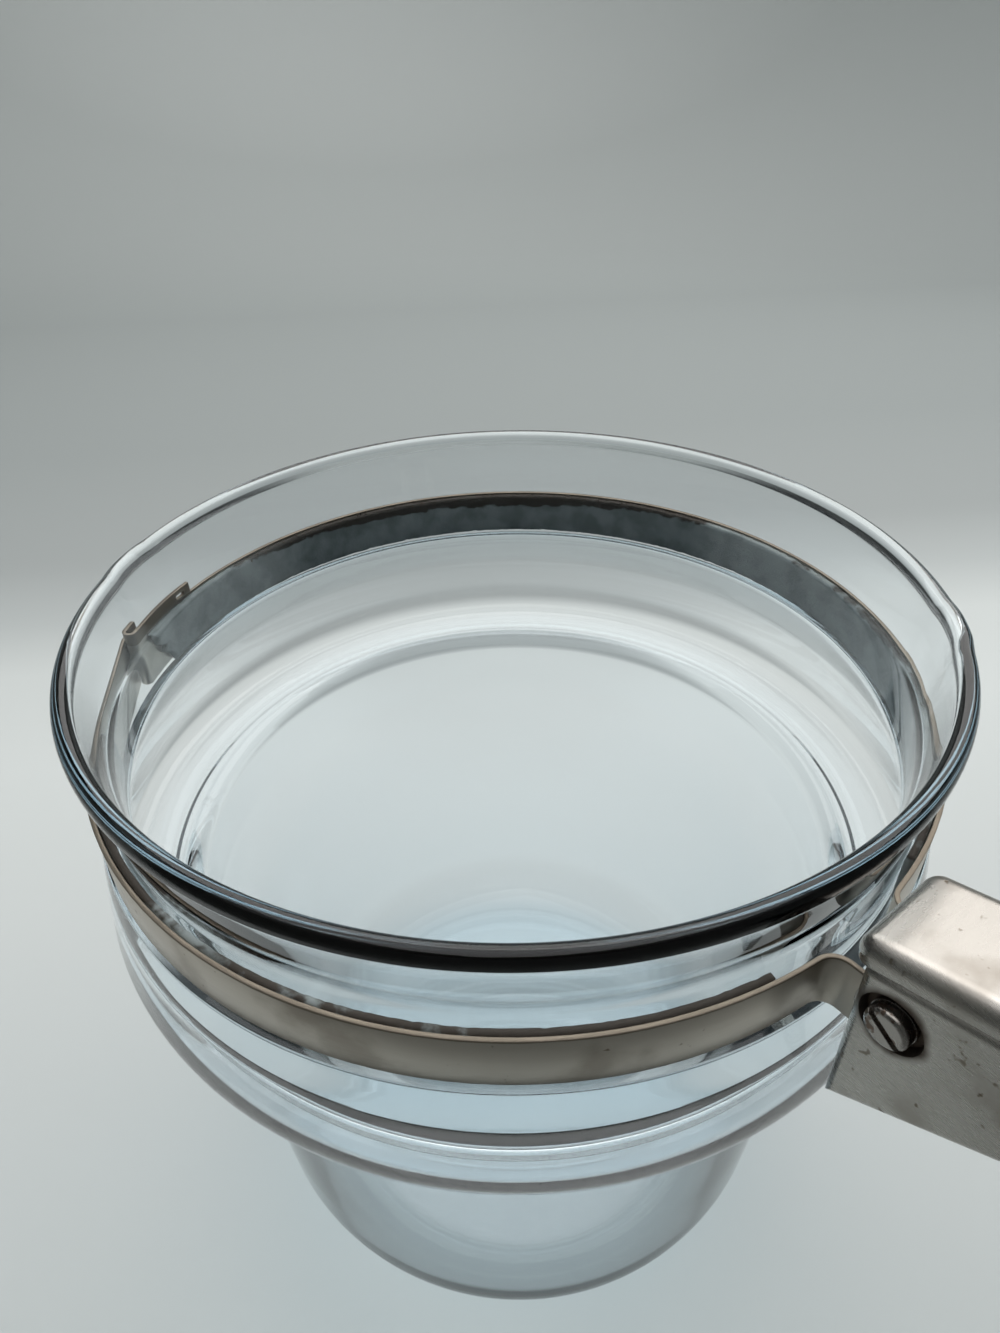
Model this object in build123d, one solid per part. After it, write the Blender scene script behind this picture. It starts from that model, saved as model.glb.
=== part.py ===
from build123d import *
import math
import os

os.makedirs("parts", exist_ok=True)

# Upper glass vessel of a double boiler, held by a two-part steel strap and a glass handle.
# Millimetres and degrees. +Z is up, +X runs along the handle, and the origin is the middle of the foot.

# Glass vessel. The steps in its outline are measured from the rim, outward and down.
rim_diameter = 148.0
vessel_height = 149.5
bead_diameter = 3.0
rim_wall = 2.2
neck_wall = 2.6
bulge_wall = 1.8
shoulder_wall = 3.6
well_wall = 3.0
floor_thickness = 5.0
neck_recess = 2.8
bulge_stand = 4.4
bulge_taper = 3.2
shoulder_width = 13.5
well_taper = 4.8
shoulder_drop = 54.9
seat_length = 10.0
foot_corner_radius = 20.0
shoulder_corner_radius = 9.5
shoulder_root_radius = 2.5
well_blend_radius = 40.0
ledge_width = 2.9
ledge_drop = 26.9
ledge_edge_radius = 0.4
groove_root_radius = 0.8
bulge_top_drop = 6.5
bulge_top_radius = 9.0
inner_root_radius = 3.0
inner_corner_radius = 3.4
inner_top_drop = 8.0
inner_neck_radius = 6.0

# Pour lips
lip_angles = (43.0, 221.0)
lip_reach = 0.9
lip_radius = 14.0
lip_blend_radius = 24.0
lip_depth = 13.3

# Strap and its cushion strip
strap_width = 9.5
strap_thickness = 0.7
strap_drop = 25.5
liner_thickness = 1.3
liner_inset = 0.25
fit_gap = 0.3
contact_gap = 0.1
curl_radius = 3.0
ear_length = 10.2
ear_rise = 3.0
ear_corner_radius = 1.5
rear_liner_angle = 216.0
front_liner_angle = 247.0

# Hooked clasp of the strap
clasp_angle = 224.0
clasp_leg = 1.5
clasp_widening = 2.3
clasp_plate_arc = 14.0
clasp_plate_inset = 0.4
clasp_plate_overlap = 0.5
bow_length = 22.0
bow_bend_radius = 2.0
clasp_slot_length = 2.6
clasp_slot_height = 0.9
clasp_slot_arc = 2.5
clasp_slot_rise = 0.9

# Handle bracket
bracket_width = 17.8
bracket_thickness = 0.8
bracket_stand = 3.9
bracket_length = 20.6
cheek_top_drop = 11.8
cheek_front_height = 27.4
cheek_rear_height = 19.0
cheek_front_rake = 0.5
cheek_rear_opening = 4.0
cheek_fold_depth = 2.8
cheek_fold_radius = 1.2
ear_notch_depth = 1.2
top_slope = 14.0
cap_height = 3.4
cap_overhang = 1.7
cap_fold_radius = 2.5

# Clamp screw, nut and washers
screw_diameter = 3.5
screw_setback = 5.1
screw_drop = 17.5
screw_pitch = 0.6
screw_turns = 3.0
thread_end = 1.2
tip_chamfer = 0.4
head_diameter = 5.8
head_height = 1.9
head_crown_radius = 0.7
head_neck = 0.5
slot_width = 0.9
slot_depth = 0.9
slot_angle = 35.0
dimple_depth = 1.5
dimple_radius = 3.8
dimple_flare = 0.4
washer_diameter = 6.0
washer_thickness = 0.6
nut_width = 6.0
nut_height = 2.4
running_gap = 0.05
hole_gap = 0.3

# Glass handle, its bush and its cushions
tongue_width = 10.6
tongue_rise = 2.4
tongue_setback = 1.9
tongue_root = 4.0
tongue_floor_gap = 1.0
tongue_corner_radius = 1.5
bush_wall = 1.0
pad_length = 8.4
pad_height = 12.5
pad_corner_radius = 1.5
heel_width = 20.5
heel_height = 25.5
heel_drop = 3.7
heel_edge_radius = 1.8
grip_length = 112.0
grip_slope = 14.0
grip_end_slope = 3.0
grip_end_radius = 4.5
grip_corner_share = 0.42

# Shares of the grip's length, and there its width and height as shares of the heel's
grip_shares = ((0.0, 1.0, 1.0), (0.12, 0.93, 0.84), (0.35, 0.85, 0.68), (0.7, 0.97, 0.74), (1.0, 1.02, 0.7))

# Ragged end of the rear cushion strip: distance past the break, and height above the strip's lower edge
torn_outline = (
    (6.0, -1.0), (-2.4, -1.0), (-1.8, 2.0), (0.9, 3.1), (-0.6, 5.0), (2.2, 6.4), (1.0, 8.2), (3.1, 10.5),
    (6.0, 10.5),
)

# Sizes that follow from the ones above
neck_diameter = rim_diameter - 2 * neck_recess
bulge_diameter = rim_diameter + 2 * bulge_stand
well_diameter = bulge_diameter - 2 * shoulder_width
well_foot_diameter = well_diameter - 2 * well_taper
shoulder_height = vessel_height - shoulder_drop
ledge_height = vessel_height - ledge_drop
strap_bottom = vessel_height - strap_drop
bracket_start = rim_diameter / 2 + bracket_stand
cheek_top = vessel_height - cheek_top_drop
screw_height = vessel_height - screw_drop
bead_radius = bead_diameter / 2
rim_line_radius = rim_diameter / 2 - bead_radius
rim_line_height = vessel_height - bead_radius
neck_radius = neck_diameter / 2
neck_top = rim_line_height - lip_depth
ledge_radius = neck_radius + ledge_width
ledge_floor = strap_bottom - fit_gap * 2
liner_inner = neck_radius + fit_gap
strap_inner = liner_inner + liner_thickness + contact_gap
strap_line = strap_inner + strap_thickness / 2
strap_middle = strap_bottom + strap_width / 2
strap_top = strap_bottom + strap_width
bracket_end = bracket_start + bracket_length
cheek_face = bracket_width / 2
cheek_inner = cheek_face - bracket_thickness
screw_x = bracket_start + screw_setback
ear_line = cheek_inner - dimple_depth - contact_gap - strap_thickness / 2
clasp_pitch = strap_thickness + fit_gap
clasp_fold_radius = 0.98 * clasp_pitch
liner_bottom = strap_bottom + liner_inset
liner_width = strap_width - 2 * liner_inset
screw_travel = screw_pitch * screw_turns


def polar(radius, angle, height=0.0):
    """Point at a radius and an angle about the vessel's axis."""
    return Vector(radius * math.cos(math.radians(angle)), radius * math.sin(math.radians(angle)), height)


def slope_height(x):
    """Height of the bracket's rising top line above the point x on the handle's axis."""
    return cheek_top + (x - bracket_start) * math.tan(math.radians(top_slope))


# Glass vessel
# The pot is turned from one profile up to the top of the strap groove. Above it the neck flares
# to a rim line with two pour lips, and the rolled bead follows that line.
def seat_bottom():
    """Height where the tapered well turns into the plain cylinder under the shoulder."""
    run = shoulder_height - shoulder_root_radius - seat_length
    taper = math.atan((well_diameter - well_foot_diameter) / 2 / run)
    return run - well_blend_radius * math.tan(taper / 2)


def vessel_outline():
    """Outside of the pot from the foot to the top of the groove."""
    well = well_diameter / 2
    bulge = bulge_diameter / 2
    points = [
        (0, 0), (well_foot_diameter / 2, 0), (well, seat_bottom()),
        (well, shoulder_height), (bulge, shoulder_height),
        (bulge - bulge_taper, ledge_height - bulge_top_drop),
        (ledge_radius, ledge_height), (neck_radius, ledge_floor), (neck_radius, neck_top),
    ]
    radii = [
        foot_corner_radius, well_blend_radius, shoulder_root_radius, shoulder_corner_radius,
        bulge_top_radius, ledge_edge_radius, groove_root_radius,
    ]
    return points, radii


def vessel_bore():
    """Inside of the pot. The wall is thin in the bulge and thick at the shoulder's corner."""
    well = well_diameter / 2 - well_wall
    bulge = bulge_diameter / 2 - bulge_wall
    points = [
        (0, floor_thickness), (well_foot_diameter / 2 - well_wall, floor_thickness),
        (well, seat_bottom()), (well, shoulder_height + shoulder_wall),
        (bulge, shoulder_height + shoulder_wall), (bulge - bulge_taper, ledge_height - inner_top_drop),
        (neck_radius - neck_wall, ledge_floor), (neck_radius - neck_wall, neck_top),
    ]
    radii = [
        foot_corner_radius - floor_thickness, well_blend_radius, inner_root_radius,
        inner_corner_radius, bulge_top_radius, inner_neck_radius,
    ]
    return points, radii


def turned_pot():
    outside, outside_radii = vessel_outline()
    inside, inside_radii = vessel_bore()
    edges = FilletPolyline(*outside, radius=outside_radii).edges()
    edges += FilletPolyline(*inside, radius=inside_radii).edges()
    edges += [Line(outside[-1], inside[-1]), Line(outside[0], inside[0])]
    profile = Plane.XZ * make_face(edges)
    return revolve(profile, Axis.Z)


def lip_corners():
    """Angles, about a lip's middle, where its three arcs meet, with their centres' distances."""
    middle = rim_line_radius + lip_reach - lip_radius
    outer = rim_line_radius + lip_blend_radius
    span = lip_radius + lip_blend_radius
    cosine = (outer ** 2 + middle ** 2 - span ** 2) / (2 * outer * middle)
    blend_angle = math.degrees(math.acos(cosine))
    side = polar(outer, blend_angle) - Vector(middle, 0, 0)
    lip_half = math.degrees(math.atan2(side.Y, side.X))
    corner = Vector(middle, 0, 0) + polar(lip_radius, lip_half)
    corner_angle = math.degrees(math.atan2(corner.Y, corner.X))
    return middle, outer, blend_angle, lip_half, corner_angle


def lipped_ring(offset, height):
    """Closed ring at one height: a circle with a pour lip of three arcs at each lip angle."""
    middle, outer, blend_angle, lip_half, _ = lip_corners()
    radius = rim_line_radius + offset
    edges = []
    for index, angle in enumerate(lip_angles):
        blend = lip_blend_radius - offset
        before = polar(outer, angle - blend_angle, height)
        after = polar(outer, angle + blend_angle, height)
        turn = lip_half - blend_angle
        edges.append(CenterArc(before, blend, angle - blend_angle + 180, -turn))
        tip = polar(middle, angle, height)
        edges.append(CenterArc(tip, lip_radius + offset, angle - lip_half, 2 * lip_half))
        edges.append(CenterArc(after, blend, angle + lip_half + 180, -turn))
        gap = (lip_angles[index - 1] - angle) % 360 - 2 * blend_angle
        edges.append(CenterArc((0, 0, height), radius, angle + blend_angle, gap))
    return Wire(edges)


def plain_ring(radius, height):
    """Round ring, divided at the same places as a lipped one."""
    _, _, blend_angle, _, corner_angle = lip_corners()
    marks = []
    for angle in lip_angles:
        marks += [angle - blend_angle, angle - corner_angle, angle + corner_angle, angle + blend_angle]
    pairs = zip(marks, marks[1:] + marks[:1])
    return Wire([CenterArc((0, 0, height), radius, start, (end - start) % 360) for start, end in pairs])


def flared_plug(radius, offset):
    """Solid that widens from the round groove to the lipped rim line."""
    rings = [plain_ring(radius, neck_top), lipped_ring(offset, rim_line_height)]
    return loft([Face(ring) for ring in rings], ruled=True)


def flared_neck():
    return flared_plug(neck_radius, rim_wall / 2) - flared_plug(neck_radius - neck_wall, -rim_wall / 2)


def rim_bead():
    path = lipped_ring(0, rim_line_height)
    section = Plane(origin=path @ 0, z_dir=path % 0) * Circle(bead_radius)
    return sweep(section, path=path)


def make_glass_vessel():
    return turned_pot() + flared_neck() + rim_bead()


# Strap
# Two halves of one steel band. Each half starts as a flat ear in the bracket, curls out of it, follows
# the groove and ends in a hook. The two hooks lock like a folded seam and act as the clamp's hinge.
def band(path, low, high):
    """Flat band along a level path."""
    section = Plane(origin=path @ 0 + Vector(0, 0, (low + high) / 2), x_dir=(0, 0, 1), z_dir=path % 0)
    lifted = Pos(0, 0, (low + high) / 2) * path
    return sweep(section * Rectangle(high - low, strap_thickness), path=lifted)


def curl_points(side):
    """Curl centre and its two tangent angles, for the rear (1) or front (-1) ear."""
    reach = strap_line + curl_radius
    centre_y = ear_line + curl_radius
    centre_x = math.sqrt(reach ** 2 - centre_y ** 2)
    touch_angle = math.degrees(math.atan2(centre_y, centre_x))
    return Vector(centre_x, side * centre_y, 0), side * touch_angle


def strap_start(side):
    """Ear line and curl, from inside the bracket to where the band meets the groove."""
    centre, touch_angle = curl_points(side)
    ear_end = Vector(bracket_start + ear_length, side * ear_line, 0)
    ear = Line(ear_end, Vector(centre.X, side * ear_line, 0))
    turn = -side * (90 - abs(touch_angle))
    curl = CenterArc(centre, curl_radius, -side * 90, turn)
    return [ear, curl], touch_angle


def ear_plate(side):
    """Taller end of the band round the screw."""
    length = ear_length - ear_corner_radius
    height = strap_width + ear_rise
    middle = Pos(bracket_start + ear_length - length / 2, side * ear_line, strap_bottom + height / 2)
    plate = middle * Box(length, strap_thickness, height)
    corners = plate.edges().filter_by(Axis.Y)
    return fillet(corners, ear_corner_radius)


def hole_along_screw(radius, slot=0.0):
    """Cutter along the screw, drawn out towards the vessel where a moving piece needs it."""
    cutter = Pos(screw_x, 0, screw_height) * Rot(90, 0, 0) * Cylinder(radius, bracket_width * 2)
    if slot > 0:
        cutter += Pos(-slot, 0, 0) * cutter
        cutter += Pos(screw_x - slot / 2, 0, screw_height) * Box(slot, bracket_width * 2, radius * 2)
    return cutter


def clasp_frame():
    """Plane with x along the band and y outward, at the clasp."""
    return Plane(
        origin=polar(strap_line, clasp_angle), x_dir=polar(1, clasp_angle + 90), z_dir=(0, 0, -1)
    )


def clasp_line(points, radii):
    """Rounded line given in the clasp's own along and outward distances."""
    frame = clasp_frame()
    return FilletPolyline(*[frame.from_local_coords(Vector(a, b, 0)) for a, b in points], radius=radii)


def rear_hook_path():
    fold = 2 * clasp_pitch
    turn = clasp_leg + clasp_pitch
    points = [(0, 0), (turn, 0), (turn, fold), (-clasp_leg - fit_gap, fold)]
    return clasp_line(points, [clasp_fold_radius] * 2)


def front_hook_path():
    """Hook and straight bow of the front half, from its tip to where it meets the round band."""
    top = 3 * clasp_pitch
    turn = clasp_leg + clasp_pitch
    meet = front_meet_angle() - clasp_angle
    touch = Vector(
        strap_line * math.sin(math.radians(meet)), strap_line * (math.cos(math.radians(meet)) - 1)
    )
    slope = math.tan(math.radians(meet))
    bend = touch.X - (top - touch.Y) / slope
    points = [
        (clasp_leg + fit_gap, clasp_pitch), (-turn, clasp_pitch), (-turn, top), (bend, top),
        (touch.X, touch.Y),
    ]
    return clasp_line(points, [clasp_fold_radius] * 2 + [bow_bend_radius])


def front_meet_angle():
    """Angle where the straight bow leaves the round band."""
    return clasp_angle + math.degrees(bow_length / strap_line)


def make_rear_strap():
    start, touch_angle = strap_start(1)
    plate_start = clasp_angle - clasp_plate_arc
    round_end = plate_start + clasp_plate_overlap
    round_part = CenterArc((0, 0, 0), strap_line, touch_angle, round_end - touch_angle)
    strap = band(Wire(start + [round_part]), strap_bottom, strap_top)
    plate = CenterArc((0, 0, 0), strap_line, plate_start, clasp_angle - plate_start)
    hooked = Wire([plate, *rear_hook_path().edges()])
    strap += band(hooked, strap_bottom + clasp_plate_inset, strap_top + clasp_widening)
    strap += ear_plate(1)
    slot_place = Rot(0, 0, plate_start + clasp_slot_arc) * Pos(strap_line, 0, strap_top + clasp_slot_rise)
    slot_outline = Rot(0, 90, 0) * SlotOverall(clasp_slot_length, clasp_slot_height, rotation=90)
    slot = slot_place * extrude(slot_outline, strap_thickness * 3, both=True)
    return strap - slot - hole_along_screw(screw_diameter / 2 + hole_gap)


def make_front_strap():
    start, touch_angle = strap_start(-1)
    meet = front_meet_angle() - 360
    round_part = CenterArc((0, 0, 0), strap_line, touch_angle, meet - touch_angle)
    strap = band(Wire(start + [round_part, *front_hook_path().edges()]), strap_bottom, strap_top)
    strap += ear_plate(-1)
    return strap - hole_along_screw(screw_diameter / 2 + hole_gap, clamp_shift())


def clamp_reach():
    """Distance along the handle and across it from the clasp's hinge line to the screw."""
    hinge = hinge_point()
    return screw_x - hinge.X, -cheek_face - hinge.Y


def hinge_point():
    """Middle of the interlocked folds, about which the front half swings open."""
    return clasp_frame().from_local_coords(Vector(0, 1.5 * clasp_pitch, 0))


def clamp_angle():
    """How far the front half swings while the screw backs out by its travel."""
    along, _ = clamp_reach()
    return math.degrees(screw_travel / along)


def clamp_shift():
    """How far the front half moves outward along the handle in that swing."""
    _, across = clamp_reach()
    return across * math.radians(clamp_angle())


# Cushion strips between strap and glass
# They follow the two halves of the strap. The rear one has torn off short of the clasp, and the front one
# starts beyond the straight bow.
def liner_strip(start, end):
    """Strip turned about the vessel's axis from one angle to another."""
    middle = Pos(liner_inner + liner_thickness / 2, liner_bottom + liner_width / 2)
    section = Plane.XZ * (middle * Rectangle(liner_thickness, liner_width))
    return Rot(0, 0, start) * revolve(section, Axis.Z, end - start)


def torn_end():
    """Cutter with the ragged outline, as far round as the rear strip's break."""
    points = [(along, liner_bottom + rise) for along, rise in torn_outline]
    cutter = extrude(Plane.YZ * make_face(Polyline(*points, close=True)), liner_thickness * 4, both=True)
    return Rot(0, 0, rear_liner_angle) * Pos(liner_inner, 0, 0) * cutter


def make_rear_liner():
    _, touch_angle = curl_points(1)
    strip = liner_strip(touch_angle + 1, rear_liner_angle + 3)
    return strip - torn_end()


def make_front_liner():
    _, touch_angle = curl_points(-1)
    return liner_strip(front_liner_angle - 360, touch_angle - 1)


# Handle bracket
# Two pressed cheeks with folded edges and a box-shaped cap that sits on their top folds.
def cheek_points():
    rear_top = slope_height(bracket_end)
    return [
        (bracket_start, cheek_top), (bracket_end, rear_top), (bracket_end, rear_top - cheek_rear_height),
        (bracket_start + cheek_front_rake, cheek_top - cheek_front_height),
    ]


def cheek_side(inset, reach_rear=0.0):
    """Upright outline of a cheek, drawn in by an inset, and past its open rear edge if asked."""
    face = make_face(Polyline(*cheek_points(), close=True))
    if inset > 0:
        face = offset(face, amount=-inset, kind=Kind.INTERSECTION)
    if reach_rear > 0:
        face += Pos(reach_rear, 0) * face
    return Plane.XZ * face


def dimple(side, radius, depth_start, depth_end):
    """Round drawn recess about the screw, as a cone between two depths below the cheek's face."""
    height = depth_end - depth_start
    cone = Cone(radius + dimple_flare, radius, height)
    place = Pos(screw_x, side * (cheek_face - depth_start - height / 2), screw_height)
    return place * Rot(90 * side, 0, 0) * cone


def ear_notch():
    """Cutter for the opening in a cheek's front fold where the strap's ear goes in."""
    height = strap_width + ear_rise + 2 * fit_gap
    middle = Pos(bracket_start, cheek_inner / 2, strap_bottom - fit_gap + height / 2)
    return middle * Box(2 * ear_notch_depth, cheek_inner, height)


def make_cheek(side):
    """Pressed side plate: flat face, folded front, top and bottom edges, open rear, drawn dimple."""
    outer = extrude(cheek_side(0), cheek_fold_depth)
    outer = Pos(0, cheek_face, 0) * outer
    face = outer.faces().sort_by(Axis.Y)[-1]
    rims = face.edges().filter_by(lambda edge: edge.center().X < bracket_end - 0.1)
    outer = fillet(rims, cheek_fold_radius)
    hollow = extrude(cheek_side(bracket_thickness, cheek_rear_opening), cheek_fold_depth * 2)
    cheek = outer - Pos(0, cheek_inner, 0) * hollow
    cheek -= ear_notch()
    wall = bracket_thickness
    cheek += dimple(1, dimple_radius + wall, wall / 2, dimple_depth + wall)
    cheek -= dimple(1, dimple_radius, 0, dimple_depth)
    if side < 0:
        return mirror(cheek, Plane.XZ) - hole_along_screw(screw_diameter / 2 + hole_gap, clamp_shift())
    return cheek - hole_along_screw(screw_diameter / 2 + hole_gap)


def make_bracket_cap():
    length = bracket_length / math.cos(math.radians(top_slope)) + cap_overhang
    outer = Pos(length / 2, 0, cap_height / 2) * Box(length, bracket_width, cap_height)
    top = outer.faces().sort_by(Axis.Z)[-1]
    folds = top.edges().filter_by(lambda edge: edge.center().X < length - 0.1)
    corners = outer.edges().filter_by(Axis.Z).sort_by(Axis.X)[:2]
    outer = fillet(folds + corners, cap_fold_radius)
    wall = bracket_thickness
    inner = Box(length, bracket_width - 2 * wall, cap_height)
    inner = Pos(length / 2 + wall, 0, cap_height / 2 - wall) * inner
    inner_top = inner.faces().sort_by(Axis.Z)[-1]
    inner_folds = inner_top.edges().filter_by(lambda edge: edge.center().X < length - 0.1)
    inner_corners = inner.edges().filter_by(Axis.Z).sort_by(Axis.X)[:2]
    inner = fillet(inner_folds + inner_corners, cap_fold_radius - wall)
    cap = Pos(-cap_overhang, 0, fit_gap) * (outer - inner)
    return Pos(bracket_start, 0, cheek_top) * Rot(0, -top_slope, 0) * cap


# Clamp screw
# The screw goes in from the front cheek's dimple, through both ears and the handle's bush, to the nut.
def across(start, length, radius):
    """Round bar along the screw, from a y position towards +Y."""
    return Pos(screw_x, start + length / 2, screw_height) * Rot(90, 0, 0) * Cylinder(radius, length)


def head_seat():
    """Outer face of the washer under the screw's head."""
    return -(cheek_face - dimple_depth) - fit_gap - washer_thickness


def nut_seat():
    """Inner face of the nut, on its washer in the rear cheek's dimple."""
    return cheek_face - dimple_depth + contact_gap + washer_thickness


def make_clamp_screw():
    head = across(head_seat() - contact_gap - head_height, head_height, head_diameter / 2)
    crown = head.edges().filter_by(GeomType.CIRCLE).sort_by(Axis.Y)[0]
    head = fillet(crown, head_crown_radius)
    slot_place = Pos(screw_x, head_seat() - contact_gap - head_height, screw_height) * Rot(0, slot_angle, 0)
    slot = slot_place * Box(head_diameter * 2, slot_depth * 2, slot_width)
    shank_start = head_seat() - contact_gap - head_neck
    shank = across(shank_start, nut_seat() + nut_height + thread_end - shank_start, screw_diameter / 2)
    tip = shank.edges().filter_by(GeomType.CIRCLE).sort_by(Axis.Y)[-1]
    return head - slot + chamfer(tip, tip_chamfer)


def make_head_washer():
    disc = across(head_seat(), washer_thickness, washer_diameter / 2)
    return disc - hole_along_screw(screw_diameter / 2 + running_gap)


def make_nut_washer():
    disc = across(cheek_face - dimple_depth + contact_gap / 2, washer_thickness, washer_diameter / 2)
    return disc - hole_along_screw(screw_diameter / 2 + hole_gap)


def make_clamp_nut():
    place = Pos(screw_x, nut_seat(), screw_height) * Rot(-90, 0, 0)
    hexagon = RegularPolygon(nut_width / 2, 6, major_radius=False)
    nut = place * extrude(hexagon, nut_height)
    return nut - hole_along_screw(screw_diameter / 2 + running_gap)


# Glass handle
def tongue_outline():
    """Side view of the tongue between the cheeks."""
    front = bracket_start + tongue_setback
    rear = bracket_end + tongue_root
    low_slope = (cheek_points()[2][1] - cheek_points()[3][1]) / (bracket_length - cheek_front_rake)
    low = cheek_points()[3][1] + bracket_thickness + tongue_floor_gap
    return [
        (front, slope_height(front) + tongue_rise), (rear, slope_height(rear) + tongue_rise),
        (rear, low + (rear - front) * low_slope), (front, low + tongue_setback * low_slope),
    ]


def make_tongue():
    side = Plane.XZ * make_face(Polyline(*tongue_outline(), close=True))
    tongue = extrude(side, tongue_width / 2, both=True)
    front = tongue.faces().sort_by(Axis.X)[0]
    return fillet(front.edges(), tongue_corner_radius)


def grip_place(share):
    """Plane across the grip at a share of its length, along its gently levelling arc."""
    bend = math.radians(grip_slope - grip_end_slope)
    radius = grip_length / bend
    start = math.radians(grip_slope)
    slope = start - bend * share
    heel_middle = slope_height(bracket_end) - cheek_rear_height - heel_drop + heel_height / 2
    x = bracket_end + clamp_shift() + fit_gap + radius * (math.sin(start) - math.sin(slope))
    z = heel_middle + radius * (math.cos(slope) - math.cos(start))
    if share == 0:
        slope = 0
    return Plane(origin=(x, 0, z), x_dir=(0, 1, 0), z_dir=(math.cos(slope), 0, math.sin(slope)))


def grip_section(share, width, height):
    return grip_place(share) * RectangleRounded(width, height, grip_corner_share * min(width, height))


def make_grip():
    sizes = [(share, heel_width * wide, heel_height * high) for share, wide, high in grip_shares]
    grip = loft([grip_section(*size) for size in sizes])
    end = grip.faces().sort_by(Axis.X)[-1]
    grip = fillet(end.edges(), grip_end_radius)
    heel = grip.faces().sort_by(Axis.X)[0]
    return fillet(heel.edges(), heel_edge_radius)


def make_glass_handle():
    handle = make_tongue() + make_grip()
    return handle - hole_along_screw(screw_diameter / 2 + hole_gap + bush_wall + contact_gap)


def make_handle_bush():
    bush = across(-tongue_width / 2, tongue_width, screw_diameter / 2 + hole_gap + bush_wall)
    return bush - hole_along_screw(screw_diameter / 2 + hole_gap)


def make_handle_pad(side):
    """Cushion between a cheek and the tongue; the front one keeps clear of the cheek that swings."""
    gap = fit_gap if side < 0 else contact_gap
    thickness = cheek_inner - tongue_width / 2 - gap - contact_gap
    middle_y = side * (tongue_width / 2 + contact_gap + thickness / 2)
    x = bracket_start + ear_length + 2 * fit_gap + pad_length / 2
    pad = Box(pad_length, thickness, pad_height)
    pad = fillet(pad.edges().filter_by(Axis.Y), pad_corner_radius)
    return Pos(x, middle_y, screw_height) * pad


makers = {
    "glass_vessel": make_glass_vessel,
    "rear_strap": make_rear_strap,
    "front_strap": make_front_strap,
    "rear_liner": make_rear_liner,
    "front_liner": make_front_liner,
    "rear_cheek": lambda: make_cheek(1),
    "front_cheek": lambda: make_cheek(-1),
    "bracket_cap": make_bracket_cap,
    "clamp_screw": make_clamp_screw,
    "head_washer": make_head_washer,
    "nut_washer": make_nut_washer,
    "clamp_nut": make_clamp_nut,
    "glass_handle": make_glass_handle,
    "handle_bush": make_handle_bush,
    "front_handle_pad": lambda: make_handle_pad(-1),
    "rear_handle_pad": lambda: make_handle_pad(1),
}

for node, make in makers.items():
    export_step(make(), f"parts/{node}.step")

print("hinge point", hinge_point(), "swing", round(clamp_angle(), 4), "shift", round(clamp_shift(), 3))
print("screw axis", screw_x, screw_height, "travel", screw_travel)
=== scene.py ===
import math

import bmesh
import bpy
from mathutils import Matrix, Vector, noise


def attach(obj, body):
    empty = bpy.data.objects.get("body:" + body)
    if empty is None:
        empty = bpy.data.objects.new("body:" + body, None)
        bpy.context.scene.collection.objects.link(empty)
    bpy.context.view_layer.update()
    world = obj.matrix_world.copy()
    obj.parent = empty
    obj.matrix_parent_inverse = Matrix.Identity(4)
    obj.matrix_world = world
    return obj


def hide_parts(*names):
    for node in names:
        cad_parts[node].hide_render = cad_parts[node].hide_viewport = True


# The solids come in as the fixed frame. Everything is in metres, +Z up, +X along the handle, with the
# middle of the vessel's foot at the origin.
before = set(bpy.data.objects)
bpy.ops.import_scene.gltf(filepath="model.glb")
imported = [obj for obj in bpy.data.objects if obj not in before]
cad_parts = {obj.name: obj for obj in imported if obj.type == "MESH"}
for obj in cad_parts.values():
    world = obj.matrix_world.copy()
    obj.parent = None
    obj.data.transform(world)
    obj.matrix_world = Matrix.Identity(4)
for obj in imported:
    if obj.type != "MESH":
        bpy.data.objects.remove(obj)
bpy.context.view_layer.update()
scene = bpy.context.scene
scene.view_settings.view_transform = "Standard"

# Camera. It looks down into the vessel from the side of the handle, close, with a wide lens.
camera_azimuth = math.radians(-38.0)
camera_distance = 0.1296
camera_height = 0.2285
camera_pitch = 0.6342
camera_yaw = -0.0131
camera_roll = -0.0141
camera_data = bpy.data.cameras.new("photo_camera")
camera_data.lens = 23.766
camera_data.sensor_width = 36.0
camera_data.clip_start = 0.005
camera = bpy.data.objects.new("photo_camera", camera_data)
scene.collection.objects.link(camera)
camera.location = (
    camera_distance * math.cos(camera_azimuth), camera_distance * math.sin(camera_azimuth), camera_height,
)
camera.rotation_euler = (
    Matrix.Rotation(camera_azimuth + math.pi / 2, 4, "Z")
    @ Matrix.Rotation(math.pi / 2 - camera_pitch, 4, "X")
    @ Matrix.Rotation(-camera_yaw, 4, "Y")
    @ Matrix.Rotation(camera_roll, 4, "Z")
).to_euler()
scene.camera = camera


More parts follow.
